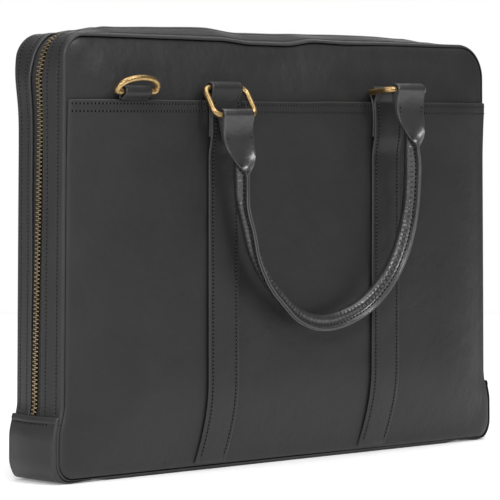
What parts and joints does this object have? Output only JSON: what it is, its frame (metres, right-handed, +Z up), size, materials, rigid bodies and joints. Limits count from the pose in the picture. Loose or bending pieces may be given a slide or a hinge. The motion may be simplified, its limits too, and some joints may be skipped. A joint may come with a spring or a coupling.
{
  "type": "laptop bag",
  "caption": "Slim leather laptop bag with a zipped arched gusset, a slip pocket and two rolled handles hung from rectangular metal rings.",
  "frame": {"origin": "middle of the base on the ground", "axes": "+X to the right along the width, -Y is the front with the pocket, +Z up"},
  "size_m": [0.4114, 0.1404, 0.2911],
  "materials": {
    "leather": "smooth, softly glossy",
    "zip_tape": "woven",
    "brass": "antique, polished"
  },
  "bodies": {
    "bag": {"front_panel": "leather", "back_panel": "leather", "pocket_panel": "leather", "gusset_front_band": "leather", "gusset_back_band": "leather", "base_gusset": "leather", "corner_patch_left": "leather", "corner_patch_right": "leather", "front_strap_left": "leather", "front_strap_right": "leather", "front_handle": "leather", "front_d_ring_keeper": "leather", "back_strap_left": "leather", "back_strap_right": "leather", "back_handle": "leather", "back_d_ring_keeper": "leather", "zip_tape_front": "zip_tape", "zip_tape_back": "zip_tape", "zip_chain": "brass", "zip_slider": "brass", "front_ring_left": "brass", "front_ring_right": "brass", "back_ring_left": "brass", "back_ring_right": "brass", "back_d_ring": "brass"},
    "d_ring": {"front_d_ring": "brass"}
  },
  "joints": [
    {"name": "front_d_ring_turn", "type": "hinge", "parent": "bag", "child": "d_ring", "pos_m": [-0.1483, -0.03914, 0.24699], "axis": [1, 0, 0], "range_deg": [-58, 122]}
  ]
}
